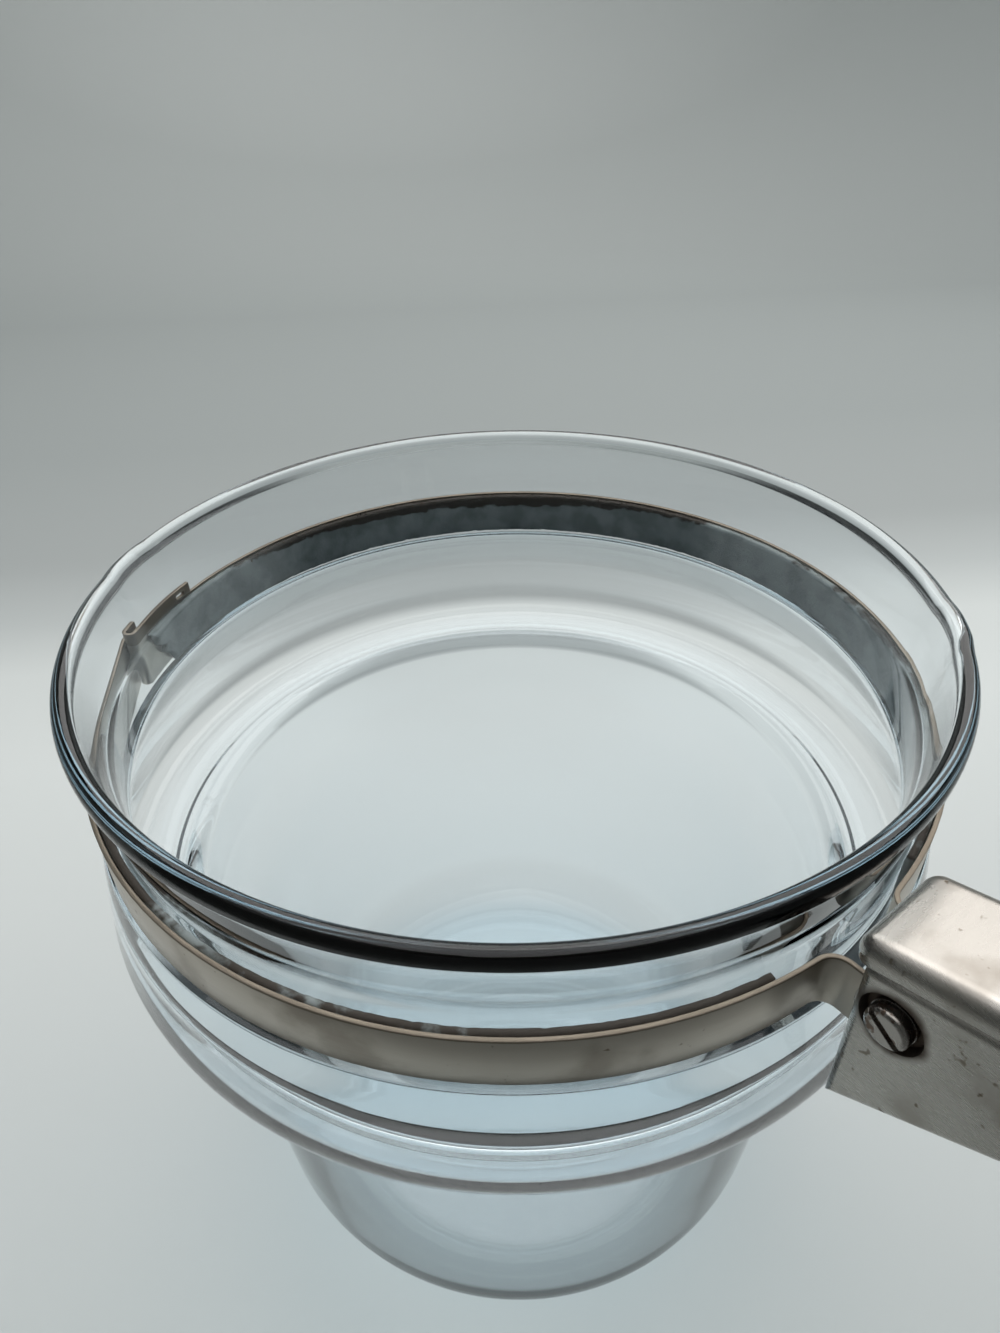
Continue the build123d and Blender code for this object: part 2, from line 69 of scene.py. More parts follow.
# Floor and backdrop. One pale sheet that lies flat under the vessel and rises far behind it. Its colour
# carries painted light and shade: it is brightest behind the vessel and falls to a mid grey further back.
# Rays that come out of the glass or off the steel see painted near-black shade in front of it and beside it.
class Flow:
    """A value in a node tree. Sums, products and the like of two of them add the Math nodes for it."""

    def __init__(self, tree, socket=None):
        self.tree = tree
        self.socket = socket

    def add(self, kind, settings=None, inputs=None, output=0):
        """Adds a node. Its settings are set first, then the values or links of its sockets."""
        node = self.tree.nodes.new(kind)
        for name, value in (settings or {}).items():
            if name == "stops":
                ramp = node.color_ramp.elements
                ramp[0].position, ramp[1].position = value[0][0], value[-1][0]
                for place, _ in value[1:-1]:
                    ramp.new(place)
                for element, (_, colour) in zip(ramp, value):
                    element.color = (*colour, 1.0)
            else:
                setattr(node, name, value)
        for name, value in (inputs or {}).items():
            if isinstance(value, Flow):
                self.tree.links.new(value.socket, node.inputs[name])
            else:
                node.inputs[name].default_value = value
        return Flow(self.tree, node.outputs[output])

    def maths(self, operation, other=0.0):
        return self.add("ShaderNodeMath", {"operation": operation}, {0: self, 1: other})

    def __add__(self, other):
        return self.maths("ADD", other)

    def __sub__(self, other):
        return self.maths("SUBTRACT", other)

    def __rsub__(self, other):
        return self.add("ShaderNodeMath", {"operation": "SUBTRACT"}, {0: other, 1: self})

    def __mul__(self, other):
        return self.maths("MULTIPLY", other)

    def __truediv__(self, other):
        return self.maths("DIVIDE", other)

    def __pow__(self, other):
        return self.maths("POWER", other)

    __radd__ = __add__
    __rmul__ = __mul__

    def ranged(self, low, high, to_low=0.0, to_high=1.0):
        """This value, taken smoothly from one range to another."""
        return self.add(
            "ShaderNodeMapRange", {"interpolation_type": "SMOOTHSTEP"},
            {"Value": self, "From Min": low, "From Max": high, "To Min": to_low, "To Max": to_high},
        )

    def mixed(self, first, second):
        """Two colours mixed by this value."""
        return self.add(
            "ShaderNodeMix", {"data_type": "RGBA"}, {0: self, 6: first, 7: second}, output=2,
        )


def new_finish(name):
    """An empty material, its start of a node tree, and what its surface is plugged into."""
    material = bpy.data.materials.new(name)
    material.use_nodes = True
    material.node_tree.nodes.clear()
    output = material.node_tree.nodes.new("ShaderNodeOutputMaterial")
    return material, Flow(material.node_tree), output


away = Vector((math.cos(camera_azimuth + math.pi), math.sin(camera_azimuth + math.pi), 0.0))
aside = Vector((away.y, -away.x, 0.0))
floor_radius = 1.0
sweep_radius = 0.35
wall_height = 1.3
paper_turn = math.radians(6.0)
# These tones are painted light and shade, not the paper's own colour: lighter just behind the vessel, darker
# in front of it and further back.
painted_light_tones = (
    (-1.0, (0.52, 0.54, 0.535)), (-0.12, (0.57, 0.595, 0.585)), (-0.02, (0.64, 0.665, 0.66)),
    (0.14, (0.72, 0.745, 0.735)), (0.20, (0.67, 0.695, 0.685)), (0.245, (0.50, 0.525, 0.522)),
    (0.30, (0.395, 0.415, 0.413)), (0.45, (0.355, 0.378, 0.376)), (0.78, (0.345, 0.368, 0.365)),
    (1.21, (0.46, 0.485, 0.48)), (1.35, (0.60, 0.625, 0.62)),
)
sheet_finish, sheet_flow, sheet_output = new_finish("backdrop_paper")
sheet_place = sheet_flow.add("ShaderNodeTexCoord", output="Object")
sheet_depth = sheet_flow.add(
    "ShaderNodeVectorMath", {"operation": "DOT_PRODUCT"},
    {0: sheet_place, 1: Matrix.Rotation(paper_turn, 3, "Z") @ away}, output="Value",
)
paper_length = floor_radius + sweep_radius
paper_with_painted_light = sheet_flow.add(
    "ShaderNodeValToRGB",
    {"stops": [((depth + paper_length) / (2 * paper_length), tone) for depth, tone in painted_light_tones]},
    {"Fac": (sheet_depth + paper_length) / (2 * paper_length)}, output="Color",
)
# Painted shade: for rays seen through the glass the sheet turns near black in front of the vessel, beside it,
# under its front and after inner reflections; rays off the steel see it dark in front.
seen_through = sheet_flow.add("ShaderNodeLightPath", output="Is Transmission Ray")
mirrored = sheet_flow.add("ShaderNodeLightPath", output="Is Glossy Ray")
bounces = sheet_flow.add("ShaderNodeLightPath", output="Glossy Depth")
edge_rays = seen_through * bounces.maths("MINIMUM", 1.0)
painted_shade_black = (0.004, 0.005, 0.006, 1.0)
painted_edge_shade = sheet_depth.ranged(0.02, -0.05) * edge_rays * 0.98
painted_front_shade = sheet_depth.ranged(-0.09, -0.20) * (seen_through * 0.97 + mirrored * 0.70)
painted_under_shadow = sheet_depth.ranged(0.03, -0.05) * seen_through * 0.22
sheet_side = sheet_flow.add(
    "ShaderNodeVectorMath", {"operation": "DOT_PRODUCT"}, {0: sheet_place, 1: aside}, output="Value"
)
painted_side_shade = sheet_side.maths("ABSOLUTE").ranged(0.30, 0.55) * seen_through * 0.95
painted_shade_mask = painted_edge_shade
for darkness in (painted_front_shade, painted_under_shadow, painted_side_shade):
    painted_shade_mask = painted_shade_mask.maths("MAXIMUM", darkness)
sheet_colour = painted_shade_mask.mixed(paper_with_painted_light, painted_shade_black)
sheet_surface = sheet_flow.add("ShaderNodeBsdfDiffuse", inputs={"Color": sheet_colour})
sheet_flow.tree.links.new(sheet_surface.socket, sheet_output.inputs["Surface"])

sheet_mesh = bmesh.new()
paper_drop = 0.0003
sweep_steps = 12
profile = [sheet_mesh.verts.new((0, 0, -paper_drop)), sheet_mesh.verts.new((floor_radius, 0, -paper_drop))]
for step in range(1, sweep_steps + 1):
    turn = math.radians(90 * step / sweep_steps)
    profile.append(sheet_mesh.verts.new(
        (floor_radius + sweep_radius * math.sin(turn), 0, sweep_radius * (1 - math.cos(turn)) - paper_drop)
    ))
profile.append(sheet_mesh.verts.new((floor_radius + sweep_radius, 0, wall_height)))
edges = [sheet_mesh.edges.new(pair) for pair in zip(profile, profile[1:])]
bmesh.ops.spin(
    sheet_mesh, geom=profile + edges, cent=(0, 0, 0), axis=(0, 0, 1), angle=2 * math.pi, steps=96
)
bmesh.ops.remove_doubles(sheet_mesh, verts=sheet_mesh.verts, dist=1e-5)
bmesh.ops.recalc_face_normals(sheet_mesh, faces=sheet_mesh.faces)
sheet_data = bpy.data.meshes.new("backdrop")
sheet_mesh.to_mesh(sheet_data)
sheet_mesh.free()
sheet_data.shade_smooth()
sheet_data.materials.append(sheet_finish)
backdrop = bpy.data.objects.new("backdrop", sheet_data)
scene.collection.objects.link(backdrop)


# Glass vessel. Clear pressed glass with a pale blue tint, turned from one section: round well, resting
# shoulder, bulge, strap groove, neck and a rolled rim with two shallow pour lips.
rim_radius = 0.074
rim_height = 0.1495
bead_radius = 0.0015
neck_wall = 0.0026
bulge_wall = 0.0018
shoulder_wall = 0.0036
well_wall = 0.003
floor_thickness = 0.005
neck_radius = 0.0712
neck_top = 0.1347
bulge_radius = 0.0784
bulge_taper = 0.0032
well_radius = 0.0649
foot_radius = 0.0601
shoulder_height = 0.0946
seat_bottom = 0.0809
groove_floor = 0.1234
ledge_radius = 0.0741
ledge_height = 0.1226
lip_angles = (math.radians(43.0), math.radians(221.0))
lip_half_width = math.radians(6.0)
lip_reach = 0.0005


def rounded(corners, step=0.0025):
    """Points along a line of corners, each (across, up, radius), no further apart than a step."""
    points = [Vector(corners[0][:2])]
    for before, corner, after in zip(corners, corners[1:], corners[2:]):
        here, radius = Vector(corner[:2]), corner[2]
        back = (Vector(before[:2]) - here).normalized()
        ahead = (Vector(after[:2]) - here).normalized()
        turn = math.pi - back.angle(ahead)
        trim = radius * math.tan(turn / 2)
        middle = here + (back + ahead).normalized() * (radius / math.cos(turn / 2))
        start, end = here + back * trim, here + ahead * trim
        count = max(3, math.ceil(math.degrees(turn) / 6))
        sign = 1 if (start - middle).cross(end - middle) > 0 else -1
        for index in range(count + 1):
            angle = sign * turn * index / count
            spoke = start - middle
            points.append(middle + Vector((
                spoke.x * math.cos(angle) - spoke.y * math.sin(angle),
                spoke.x * math.sin(angle) + spoke.y * math.cos(angle),
            )))
    points.append(Vector(corners[-1][:2]))
    spaced = [points[0]]
    for point in points[1:]:
        gap = (point - spaced[-1]).length
        if gap < 1e-6:
            continue
        begin = spaced[-1]
        for index in range(1, math.ceil(gap / step)):
            spaced.append(begin.lerp(point, index / math.ceil(gap / step)))
        spaced.append(point)
    return spaced


vessel_section = rounded([
    (0, 0), (foot_radius, 0, 0.020), (well_radius, seat_bottom, 0.040),
    (well_radius, shoulder_height, 0.0025), (bulge_radius, shoulder_height, 0.0095),
    (bulge_radius - bulge_taper, ledge_height - 0.0065, 0.009), (ledge_radius, ledge_height, 0.0005),
    (neck_radius, groove_floor, 0.0008), (neck_radius, neck_top, 0.010),
    (rim_radius - 0.0007, rim_height - 0.0032, 0.0008), (rim_radius, rim_height - 0.0023, 0.0009),
    (rim_radius, rim_height, 0.00149), (rim_radius - 2 * bead_radius, rim_height, 0.00149),
    (rim_radius - 2 * bead_radius, rim_height - 0.0024, 0.0006),
    (rim_radius - 2 * bead_radius + 0.0002, rim_height - 0.0030, 0.0008),
    (neck_radius - neck_wall, neck_top, 0.012), (neck_radius - neck_wall, groove_floor, 0.006),
    (bulge_radius - bulge_taper - bulge_wall, ledge_height - 0.008, 0.009),
    (bulge_radius - bulge_wall, shoulder_height + shoulder_wall, 0.0034),
    (well_radius - well_wall, shoulder_height + shoulder_wall, 0.003),
    (well_radius - well_wall, seat_bottom, 0.040),
    (foot_radius - well_wall, floor_thickness, 0.015), (0, floor_thickness),
])
section_data = bpy.data.meshes.new("vessel_section")
hub = 0.001
section_data.from_pydata(
    [(point.x - hub, -point.y, 0) for point in vessel_section],
    [(index, index + 1) for index in range(len(vessel_section) - 1)], [],
)
glass_vessel = bpy.data.objects.new("vessel_glass_body", section_data)
scene.collection.objects.link(glass_vessel)

turning = bpy.data.node_groups.new("turned_vessel", "GeometryNodeTree")
turning.interface.new_socket("Section", in_out="INPUT", socket_type="NodeSocketGeometry")
for name, kind in (
    ("Steps Round", "NodeSocketInt"), ("Hub", "NodeSocketFloat"), ("Lip Reach", "NodeSocketFloat"),
    ("Lip Start", "NodeSocketFloat"), ("Lip Full", "NodeSocketFloat"), ("Glass", "NodeSocketMaterial"),
):
    turning.interface.new_socket(name, in_out="INPUT", socket_type=kind)
turning.interface.new_socket("Vessel", in_out="OUTPUT", socket_type="NodeSocketGeometry")
given = turning.nodes.new("NodeGroupInput")
flow = Flow(turning)


def sent(name):
    """One of the tree's own inputs."""
    return Flow(turning, given.outputs[name])


line = flow.add("GeometryNodeMeshToCurve", inputs={"Mesh": sent("Section")})
rail = flow.add(
    "GeometryNodeCurvePrimitiveCircle", inputs={"Resolution": sent("Steps Round"), "Radius": sent("Hub")}
)
turned = flow.add("GeometryNodeCurveToMesh", inputs={"Curve": rail, "Profile Curve": line})
turned = flow.add("GeometryNodeMergeByDistance", inputs={"Geometry": turned, "Distance": 1e-6})
place = flow.add("GeometryNodeInputPosition")
apart = turning.nodes.new("ShaderNodeSeparateXYZ")
turning.links.new(place.socket, apart.inputs[0])
x, y, z = (Flow(turning, socket) for socket in apart.outputs)
out = (x * x + y * y) ** 0.5
push = 0.0
for lip_angle in lip_angles:
    facing = (x * math.cos(lip_angle) + y * math.sin(lip_angle)) / (out + 1e-6)
    push = facing.ranged(math.cos(lip_half_width), 1.0) + push
rise = flow.add(
    "ShaderNodeMapRange", inputs={"Value": z, "From Min": sent("Lip Start"), "From Max": sent("Lip Full")}
)
push = push * rise * sent("Lip Reach") / (out + 1e-6)
shift = flow.add("ShaderNodeCombineXYZ", inputs={"X": x * push, "Y": y * push})
turned = flow.add("GeometryNodeSetPosition", inputs={"Geometry": turned, "Offset": shift})
turned = flow.add("GeometryNodeSetShadeSmooth", inputs={"Geometry": turned, "Shade Smooth": True})
turned = flow.add("GeometryNodeRealizeInstances", inputs={"Geometry": turned})
turned = flow.add("GeometryNodeSetMaterial", inputs={"Geometry": turned, "Material": sent("Glass")})
finished = turning.nodes.new("NodeGroupOutput")
turning.links.new(turned.socket, finished.inputs["Vessel"])

vessel_glass, glass, glass_output = new_finish("vessel_glass_finish")
place = glass.add("ShaderNodeTexCoord", output="Object")
waves = glass.add("ShaderNodeTexNoise", inputs={"Vector": place, "Scale": 22.0, "Detail": 1.0})
surface = glass.add("ShaderNodeBump", inputs={"Height": waves, "Strength": 0.25, "Distance": 0.0006})
haze = glass.add("ShaderNodeTexNoise", inputs={"Vector": place, "Scale": 60.0, "Detail": 4.0})
clear = glass.add("ShaderNodeBsdfPrincipled", inputs={
    "Base Color": (0.985, 0.995, 1.0, 1.0), "Roughness": haze.ranged(0.55, 0.75, 0.0, 0.05),
    "IOR": 1.474, "Transmission Weight": 1.0, "Normal": surface,
})
passing = glass.add("ShaderNodeBsdfTransparent", inputs={"Color": (0.90, 0.918, 0.922, 1.0)})
shadow = glass.add("ShaderNodeLightPath", output="Is Shadow Ray")
seen = glass.add("ShaderNodeMixShader", inputs={0: shadow, 1: clear, 2: passing})
tint = glass.add("ShaderNodeVolumeAbsorption", inputs={"Color": (0.44, 0.715, 0.86, 1.0), "Density": 30.0})
glass.tree.links.new(seen.socket, glass_output.inputs["Surface"])
glass.tree.links.new(tint.socket, glass_output.inputs["Volume"])


def shaped(piece, tree, values):
    """Runs a node tree on a piece with its named inputs, and keeps the result as the piece's own mesh."""
    modifier = piece.modifiers.new(tree.name, "NODES")
    modifier.node_group = tree
    names = {item.name: item.identifier for item in tree.interface.items_tree if item.in_out == "INPUT"}
    for name, value in values.items():
        modifier[names[name]] = value
    made = bpy.data.meshes.new_from_object(piece.evaluated_get(bpy.context.evaluated_depsgraph_get()))
    piece.modifiers.remove(modifier)
    piece.data = made


shaped(glass_vessel, turning, {
    "Steps Round": 216, "Hub": hub, "Lip Reach": lip_reach, "Lip Start": neck_top,
    "Lip Full": rim_height - bead_radius, "Glass": vessel_glass,
})
vessel_mesh = bmesh.new()
vessel_mesh.from_mesh(glass_vessel.data)
bmesh.ops.recalc_face_normals(vessel_mesh, faces=vessel_mesh.faces)
vessel_mesh.to_mesh(glass_vessel.data)
vessel_mesh.free()
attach(glass_vessel, "vessel")
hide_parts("glass_vessel")


# Steel strap. Two halves of one thin stainless band, worn satin, with fine lines along its length, grime
# along its top and edges that a die has rounded. They hook into each other like a folded seam.
screw_place = (0.083, 0.132)
strap_edge_width = 0.00014


def steel_finish(name, colour, dark, roughness, grain, pits, rust_and_shade=0.0, grimy=0.0):
    """Worn stainless: drawn lines, cloudy patches, dark pits, top grime, rust and painted shade round the
    screw.
    """
    material, flow, output = new_finish(name)
    place = flow.add("ShaderNodeTexCoord", output="Object")
    lines = flow.add("ShaderNodeMapping", inputs={"Vector": place, "Scale": grain})
    lines = flow.add("ShaderNodeTexNoise", inputs={"Vector": lines, "Scale": 1.0, "Detail": 3.0})
    clouds = flow.add("ShaderNodeTexNoise", inputs={"Vector": place, "Scale": 90.0, "Detail": 5.0})
    spots = flow.add("ShaderNodeTexNoise", inputs={"Vector": place, "Scale": 620.0, "Detail": 2.0})
    pitted = spots.ranged(0.80 - pits, 0.88 - pits)
    stain = clouds.ranged(0.50, 0.72) * 0.45 + pitted * 0.75
    axis = flow.add("ShaderNodeSeparateXYZ", inputs={0: place}, output="X") - screw_place[0]
    level = flow.add("ShaderNodeSeparateXYZ", inputs={0: place}, output="Z") - screw_place[1]
    around = (axis * axis + level * level) ** 0.5 + (clouds - 0.5) * 0.006
    # A dark brown disc round the screw's axis: rust, and on the bracket's cheeks also painted shade in the
    # screw's dimple.
    rust_and_shade_mask = around.ranged(0.0052, 0.0034) * rust_and_shade
    grime = (level + (clouds - 0.5) * 0.0006).ranged(0.00105, 0.00135) * grimy
    stain = stain.maths("MAXIMUM", grime)
    bright = rust_and_shade_mask.mixed(stain.mixed((*colour, 1.0), (*dark, 1.0)), (0.050, 0.024, 0.010, 1.0))
    rough = (lines - 0.5) * 0.16 + stain * 0.14 + rust_and_shade_mask * 0.35 + roughness
    round_edge = flow.add("ShaderNodeBevel", {"samples": 4}, {"Radius": 0.00018})
    relief = flow.add("ShaderNodeBump", inputs={
        "Height": lines - pitted * 1.6, "Strength": 0.22, "Distance": 0.00005, "Normal": round_edge,
    })
    metal = flow.add("ShaderNodeBsdfPrincipled", inputs={
        "Base Color": bright, "Metallic": 1.0, "Roughness": rough, "Normal": relief,
    })
    flow.tree.links.new(metal.socket, output.inputs["Surface"])
    return material


def softened(node, name, width, body, material, sharp=35.0):
    """A solid's own shape with its triangles joined and its sharp edges rounded, in its place."""
    joined = bmesh.new()
    joined.from_mesh(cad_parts[node].data)
    bmesh.ops.remove_doubles(joined, verts=joined.verts, dist=2e-6)
    bmesh.ops.dissolve_limit(joined, angle_limit=math.radians(0.5), verts=joined.verts, edges=joined.edges)
    mesh = bpy.data.meshes.new(name)
    joined.to_mesh(mesh)
    joined.free()
    piece = bpy.data.objects.new(name, mesh)
    scene.collection.objects.link(piece)
    bevel = piece.modifiers.new("edges", "BEVEL")
    bevel.width, bevel.segments, bevel.limit_method = width, 2, "ANGLE"
    bevel.angle_limit = math.radians(sharp)
    rounded_mesh = bpy.data.meshes.new_from_object(piece.evaluated_get(bpy.context.evaluated_depsgraph_get()))
    piece.modifiers.remove(bevel)
    piece.data = rounded_mesh
    rounded_mesh.shade_smooth()
    rounded_mesh.set_sharp_from_angle(angle=math.radians(sharp + 10))
    rounded_mesh.materials.clear()
    rounded_mesh.materials.append(material)
    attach(piece, body)
    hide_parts(node)


strap_steel = steel_finish(
    "strap_steel_finish", (0.50, 0.455, 0.395), (0.20, 0.16, 0.12), 0.36, (60, 60, 5000), 0.09,
    grimy=0.85,
)
softened("rear_strap", "rear_strap_band", strap_edge_width, "vessel", strap_steel)
softened("front_strap", "front_strap_band", strap_edge_width, "front_clamp", strap_steel)

# Cushion strips. Grey heat-proof fibre between the strap and the glass, matt, frayed and stained brown
# along the top edge. The rear one has torn off short of the clasp and shed a few crumbs.
strip_inner = 0.0715
strip_outer = 0.0728
strip_low = 0.12425
strip_high = 0.13325
stain_side = (math.cos(math.radians(155.0)), math.sin(math.radians(155.0)), 0.0)
torn_reach = (
    (0.0, -1.6), (0.10, -1.4), (0.28, -0.6), (0.42, 1.5), (0.58, 0.2), (0.72, 2.9), (0.86, 2.0), (1.0, 4.0),
)


def fibre_finish(name, pale, deep):
    """Matt felted fibre: short pile, mottled greys and a brown stain that runs along the top edge."""
    material, flow, output = new_finish(name)
    place = flow.add("ShaderNodeTexCoord", output="Object")
    height = flow.add("ShaderNodeSeparateXYZ", inputs={0: place}, output="Z")
    mottle = flow.add("ShaderNodeTexNoise", inputs={"Vector": place, "Scale": 160.0, "Detail": 6.0})
    pile = flow.add("ShaderNodeTexNoise", inputs={"Vector": place, "Scale": 1500.0, "Detail": 2.0})
    rag = flow.add("ShaderNodeTexNoise", inputs={"Vector": place, "Scale": 330.0, "Detail": 4.0})
    patches = flow.add("ShaderNodeTexNoise", inputs={"Vector": place, "Scale": 34.0, "Detail": 1.0})
    grey = mottle.ranged(0.35, 0.65).mixed((*deep, 1.0), (*pale, 1.0))
    rear = flow.add(
        "ShaderNodeVectorMath", {"operation": "DOT_PRODUCT"}, {0: place, 1: stain_side}, output="Value"
    ).ranged(0.035, 0.066)
    burnt = ((rag - 0.5) * 0.0026 + (patches - 0.5) * 0.0050 + rear * 0.0011 + height).ranged(0.1325, 0.1331)
    stained = (burnt * 0.93).mixed(grey, (0.030, 0.018, 0.010, 1.0))
    relief = flow.add("ShaderNodeBump", inputs={"Height": pile, "Strength": 0.5, "Distance": 0.00012})
    felt = flow.add(
        "ShaderNodeBsdfPrincipled",
        inputs={"Base Color": stained, "Roughness": mottle * 0.2 + 0.75, "Normal": relief},
    )
    flow.tree.links.new(felt.socket, output.inputs["Surface"])
    return material


fibre = fibre_finish("cushion_fibre", (0.270, 0.292, 0.286), (0.165, 0.182, 0.178))


def torn_at(share):
    """How far the torn end reaches at a share of the strip's height, in millimetres."""
    for (low, near), (high, far) in zip(torn_reach, torn_reach[1:]):
        if share <= high:
            return near + (far - near) * (share - low) / (high - low)


def cushion_strip(node, name, body, start, end, torn=0.0):
    """A felted strip round the groove. Its far end follows the torn line by a share."""
    columns = math.ceil(abs(end - start) / 0.6)
    rows = 14
    strip = bmesh.new()
    loops = []
    for column in range(columns + 1):
        loop = []
        for side, radius in ((1, strip_inner), (-1, strip_outer)):
            for row in range(rows + 1):
                share = row / rows if side > 0 else 1 - row / rows
                limit = end + torn * math.degrees(torn_at(share) / 1000 / strip_inner)
                turn = math.radians(start + (limit - start) * column / columns)
                spot = Vector((math.cos(turn), math.sin(turn), share * 7)) * 40
                fray = noise.noise(spot) * 0.00022 + noise.noise(spot * 4) * 0.00012
                edge = abs(2 * share - 1) ** 6
                across = radius + side * (0.00016 * edge + abs(fray) * 0.5)
                up = strip_low + (strip_high - strip_low) * share
                up -= math.copysign(abs(fray) * edge, share - 0.5)
                loop.append(strip.verts.new((across * math.cos(turn), across * math.sin(turn), up)))
        loops.append(loop)
    size = len(loops[0])
    for before, after in zip(loops, loops[1:]):
        for index in range(size):
            following = (index + 1) % size
            strip.faces.new((before[index], before[following], after[following], after[index]))
    for loop in (loops[0], loops[-1]):
        for row in range(rows):
            strip.faces.new((loop[row], loop[row + 1], loop[size - 2 - row], loop[size - 1 - row]))
    bmesh.ops.recalc_face_normals(strip, faces=strip.faces)
    mesh = bpy.data.meshes.new(name)
    strip.to_mesh(mesh)
    strip.free()
    mesh.shade_smooth()
    mesh.materials.append(fibre)
    piece = bpy.data.objects.new(name, mesh)
    scene.collection.objects.link(piece)
    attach(piece, body)
    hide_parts(node)


cushion_strip("rear_liner", "rear_cushion_strip", "vessel", 12.0, 220.0, torn=1.0)
cushion_strip("front_liner", "front_cushion_strip", "front_clamp", -12.0, -113.0)

# Crumbs. Rusty flakes of burnt fibre that cling to the rear strip's top edge in a few places.
crumb_spans = ((116.0, 138.0), (157.0, 174.0), (183.0, 197.0))
crumb_radius = 0.07195
crumb_height = strip_high - 0.0001
crumb_line = bpy.data.meshes.new("crumb_line")
crumb_points = []
for first, last in crumb_spans:
    for step in range(int(last - first) * 4):
        turn = math.radians(first + step / 4)
        crumb_points.append((crumb_radius * math.cos(turn), crumb_radius * math.sin(turn), crumb_height))
crumb_line.from_pydata(crumb_points, [], [])
crumbs = bpy.data.objects.new("burnt_crumbs", crumb_line)
scene.collection.objects.link(crumbs)
scatter = bpy.data.node_groups.new("clinging_crumbs", "GeometryNodeTree")
scatter.interface.new_socket("Line", in_out="INPUT", socket_type="NodeSocketGeometry")
for name, kind in (
    ("Share", "NodeSocketFloat"), ("Size", "NodeSocketFloat"), ("Spread", "NodeSocketFloat"),
    ("Seed", "NodeSocketInt"), ("Rust", "NodeSocketMaterial"),
):
    scatter.interface.new_socket(name, in_out="INPUT", socket_type=kind)
scatter.interface.new_socket("Crumbs", in_out="OUTPUT", socket_type="NodeSocketGeometry")
asked = scatter.nodes.new("NodeGroupInput")
flow = Flow(scatter)
seed = Flow(scatter, asked.outputs["Seed"])
kept = flow.add(
    "FunctionNodeRandomValue", {"data_type": "BOOLEAN"},
    {"Probability": Flow(scatter, asked.outputs["Share"]), "Seed": seed}, output=3,
)
dropped = flow.add("FunctionNodeBooleanMath", {"operation": "NOT"}, {0: kept})
points = Flow(scatter, asked.outputs["Line"])
points = flow.add("GeometryNodeDeleteGeometry", inputs={"Geometry": points, "Selection": dropped})
spread = Flow(scatter, asked.outputs["Spread"])
jitter = flow.add(
    "FunctionNodeRandomValue", {"data_type": "FLOAT_VECTOR"},
    {0: (-1.0, -1.0, -1.2), 1: (1.0, 1.0, 0.5), "Seed": seed + 1}, output=0,
)
jitter = flow.add("ShaderNodeVectorMath", {"operation": "SCALE"}, {0: jitter, "Scale": spread})
points = flow.add("GeometryNodeSetPosition", inputs={"Geometry": points, "Offset": jitter})
grain = flow.add("GeometryNodeMeshIcoSphere", inputs={"Radius": 1.0, "Subdivisions": 2})
dent = flow.add("ShaderNodeTexNoise", inputs={"Scale": 1.1, "Detail": 1.0}, output="Color")
dent = flow.add("ShaderNodeVectorMath", {"operation": "SUBTRACT"}, {0: dent, 1: (0.5, 0.5, 0.5)})
dent = flow.add("ShaderNodeVectorMath", {"operation": "SCALE"}, {0: dent, "Scale": 1.6})
grain = flow.add("GeometryNodeSetPosition", inputs={"Geometry": grain, "Offset": dent})
turns = flow.add(
    "FunctionNodeRandomValue", {"data_type": "FLOAT_VECTOR"},
    {0: (0.0, 0.0, 0.0), 1: (6.3, 6.3, 6.3), "Seed": seed + 2}, output=0,
)
sizes = flow.add(
    "FunctionNodeRandomValue", {"data_type": "FLOAT_VECTOR"},
    {0: (0.5, 0.5, 0.25), 1: (1.6, 1.1, 0.8), "Seed": seed + 3}, output=0,
)
sizes = flow.add(
    "ShaderNodeVectorMath", {"operation": "SCALE"}, {0: sizes, "Scale": Flow(scatter, asked.outputs["Size"])}
)
turns = flow.add("FunctionNodeEulerToRotation", inputs={0: turns})
made = flow.add("GeometryNodeInstanceOnPoints", inputs={
    "Points": points, "Instance": grain, "Rotation": turns, "Scale": sizes,
})
made = flow.add("GeometryNodeRealizeInstances", inputs={"Geometry": made})
rusted = Flow(scatter, asked.outputs["Rust"])
made = flow.add("GeometryNodeSetMaterial", inputs={"Geometry": made, "Material": rusted})
crumbs_out = scatter.nodes.new("NodeGroupOutput")
scatter.links.new(made.socket, crumbs_out.inputs["Crumbs"])
rust, flow, output = new_finish("burnt_fibre")
place = flow.add("ShaderNodeTexCoord", output="Object")
fleck = flow.add("ShaderNodeTexNoise", inputs={"Vector": place, "Scale": 900.0, "Detail": 3.0})
brown = fleck.ranged(0.4, 0.7).mixed((0.018, 0.012, 0.008, 1.0), (0.11, 0.06, 0.025, 1.0))
relief = flow.add("ShaderNodeBump", inputs={"Height": fleck, "Strength": 0.6, "Distance": 0.0001})
flake = flow.add(
    "ShaderNodeBsdfPrincipled", inputs={"Base Color": brown, "Roughness": fleck * 0.3 + 0.6, "Normal": relief}
)
flow.tree.links.new(flake.socket, output.inputs["Surface"])
shaped(crumbs, scatter, {"Share": 0.44, "Size": 0.00022, "Spread": 0.00046, "Seed": 7, "Rust": rust})
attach(crumbs, "vessel")

# Handle bracket. A box-shaped cap over two pressed cheeks, all of bent stainless sheet, lightly pitted.
# The dark disc round the screw on the cheeks is rust with painted shade in the dimple.
bracket_steel = steel_finish(
    "bracket_steel_finish", (0.42, 0.392, 0.36), (0.17, 0.135, 0.10), 0.27, (300, 300, 4000), 0.13, rust_and_shade=0.85
)
for node in ("bracket_cap", "front_cheek", "rear_cheek"):
    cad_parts[node].material_slots[0].material = bracket_steel

